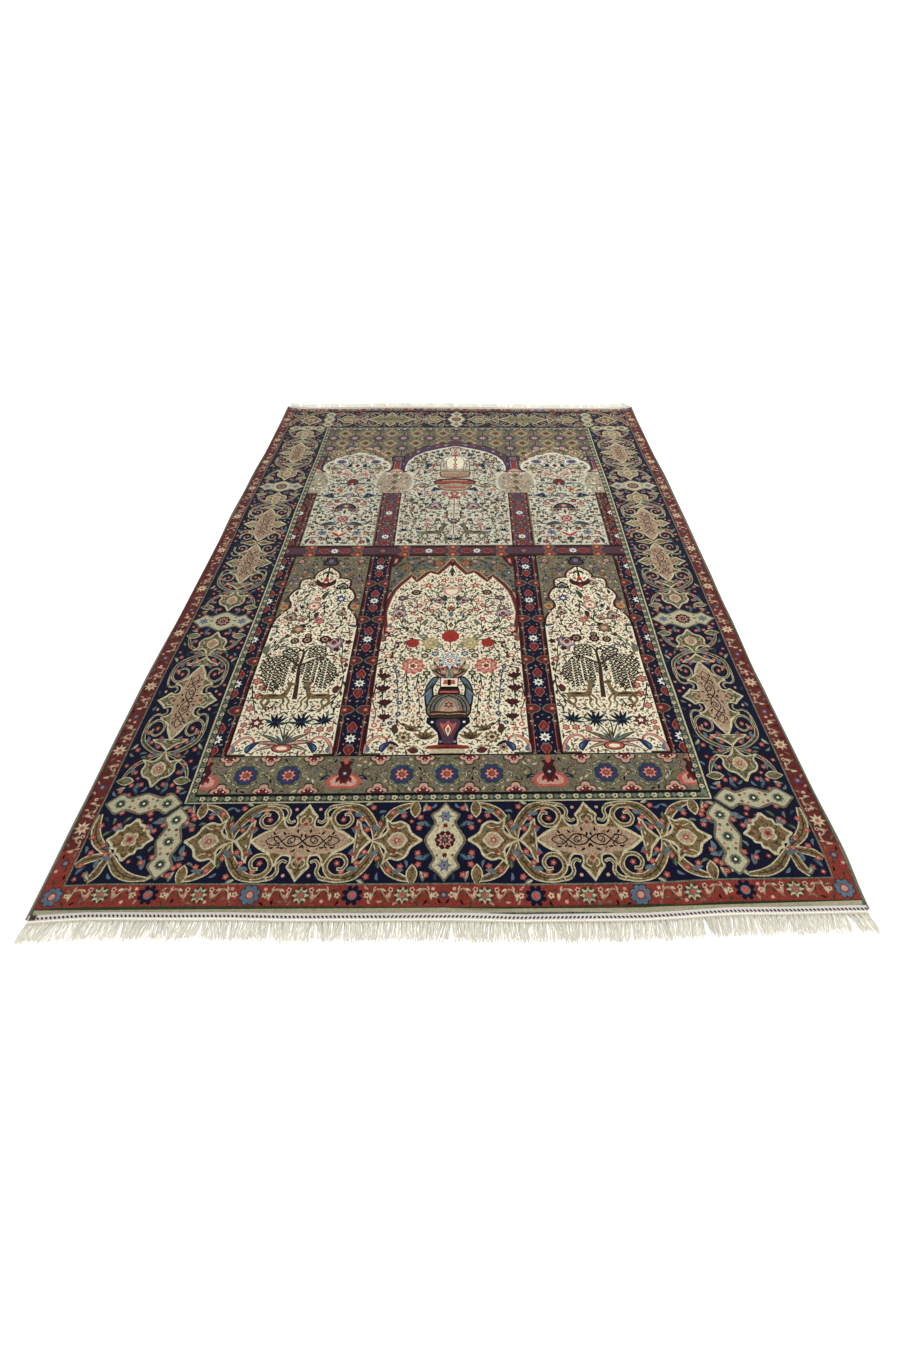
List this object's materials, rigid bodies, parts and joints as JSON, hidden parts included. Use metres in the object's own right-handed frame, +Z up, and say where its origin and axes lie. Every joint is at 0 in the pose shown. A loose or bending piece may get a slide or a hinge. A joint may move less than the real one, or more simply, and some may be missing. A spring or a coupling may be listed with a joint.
{
  "type": "persian rug",
  "caption": "Flat rectangular hand-knotted wool rug with overcast side cords, flat-woven ends and a knotted cotton fringe at each end.",
  "frame": {"origin": "on the floor, under the middle of the rug's box, fringes included", "axes": "+Y along the rug's length towards its far end, +X across it to the right, +Z up out of the pile"},
  "size_m": [2.0737, 3.2092, 0.0128],
  "materials": {
    "pile_wool": "short knotted wool pile, patterned in red, navy, olive and ivory",
    "side_cord_wool": "wool yarn wrapped tightly round the edge warps, grey-green",
    "flat_weave_cotton": "plain flat weave of undyed cotton with a twined dark line",
    "fringe_cotton": "undyed cotton warp ends, knotted and loose"
  },
  "bodies": {
    "root": {"woven_cloth": "pile_wool", "side_cord_left": "side_cord_wool", "side_cord_right": "side_cord_wool", "fringe_near": "fringe_cotton", "fringe_far": "fringe_cotton"}
  },
  "joints": []
}
